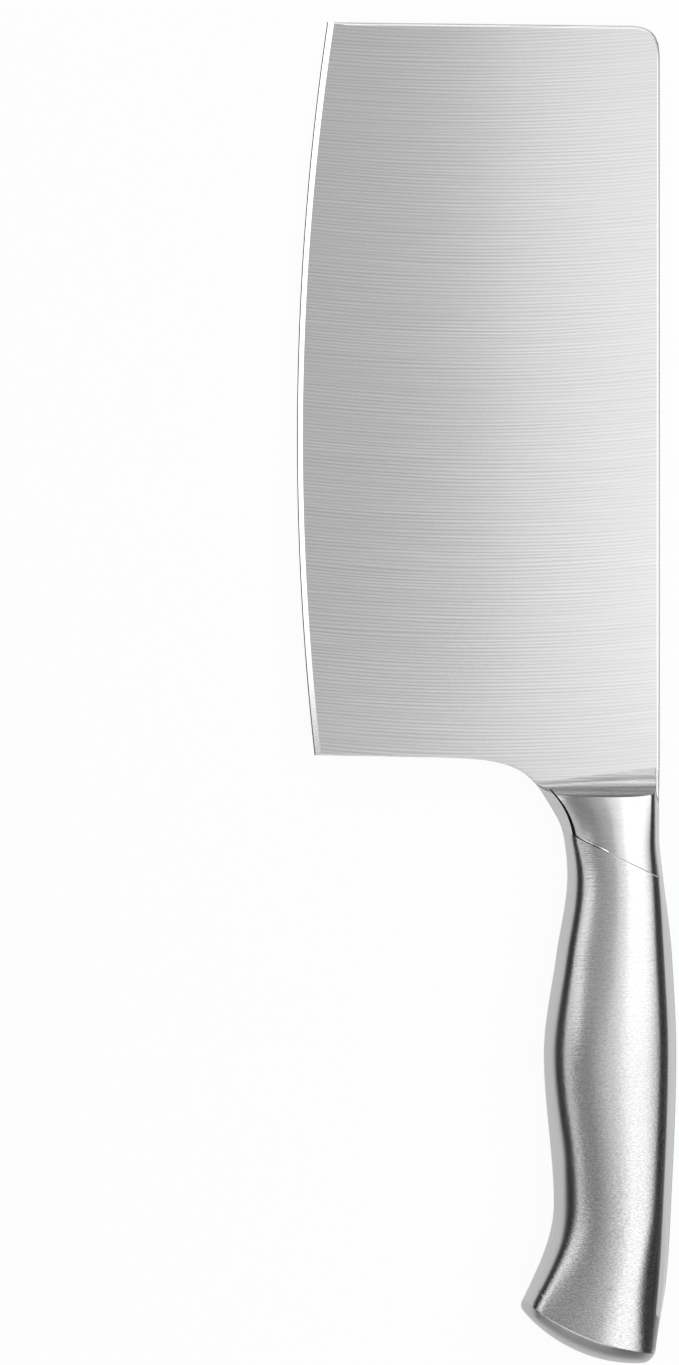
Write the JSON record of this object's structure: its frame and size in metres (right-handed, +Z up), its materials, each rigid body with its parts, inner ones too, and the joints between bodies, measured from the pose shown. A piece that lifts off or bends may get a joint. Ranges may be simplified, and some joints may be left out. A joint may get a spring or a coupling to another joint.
{
  "type": "butcher knife",
  "caption": "All-steel cleaver-type butcher knife: broad brushed blade with a curved edge, solid bolster and hollow contoured steel handle with a domed butt.",
  "frame": {"origin": "middle of the knife's footprint, on the surface that it lies on", "axes": "+Y along the knife from the butt to the tip of the blade, +X from the cutting edge to the spine, +Z up out of the left side of the blade, with the knife lying flat on its right side"},
  "size_m": [0.092, 0.325, 0.0215],
  "materials": {
    "blade_steel": "brushed",
    "bolster_steel": "satin",
    "grip_steel": "satin",
    "weld_steel": "ground",
    "core_fill": "matte"
  },
  "bodies": {
    "root": {"blade": "blade_steel", "left_bolster_cheek": "bolster_steel", "right_bolster_cheek": "bolster_steel", "left_grip_shell": "grip_steel", "right_grip_shell": "grip_steel", "butt_cap": "grip_steel", "belly_seam_weld": "weld_steel", "back_seam_weld": "weld_steel", "handle_core": "core_fill"}
  },
  "joints": []
}
